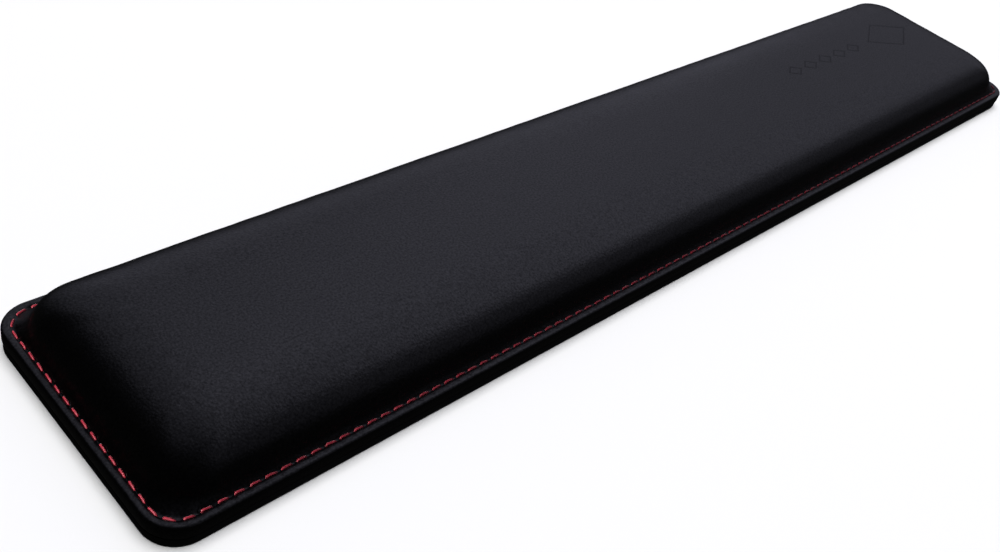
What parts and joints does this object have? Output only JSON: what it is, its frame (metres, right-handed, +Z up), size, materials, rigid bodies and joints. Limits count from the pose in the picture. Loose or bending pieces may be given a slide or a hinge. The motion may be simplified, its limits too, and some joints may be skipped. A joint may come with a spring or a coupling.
{
  "type": "wrist rest",
  "caption": "Long padded wrist rest for a keyboard: domed leatherette cushion with a stitched flange on a flat anti-slip rubber base.",
  "frame": {"origin": "middle of the footprint, on the plane of the desk", "axes": "+X to the user's right along the length, +Y away from the user towards the keyboard, +Z up from the desk"},
  "size_m": [0.4572, 0.0882, 0.0224],
  "materials": {
    "leatherette": "satin",
    "foam": "matte",
    "board": "matte",
    "adhesive": "satin",
    "base_rubber": "matte",
    "needle_thread": "satin",
    "bobbin_thread": "satin"
  },
  "bodies": {
    "root": {"top_cover": "leatherette", "foam_core": "foam", "stiffener_board": "board", "bonding_sheet": "adhesive", "base_pad": "base_rubber", "needle_thread": "needle_thread", "bobbin_thread": "bobbin_thread"}
  },
  "joints": []
}
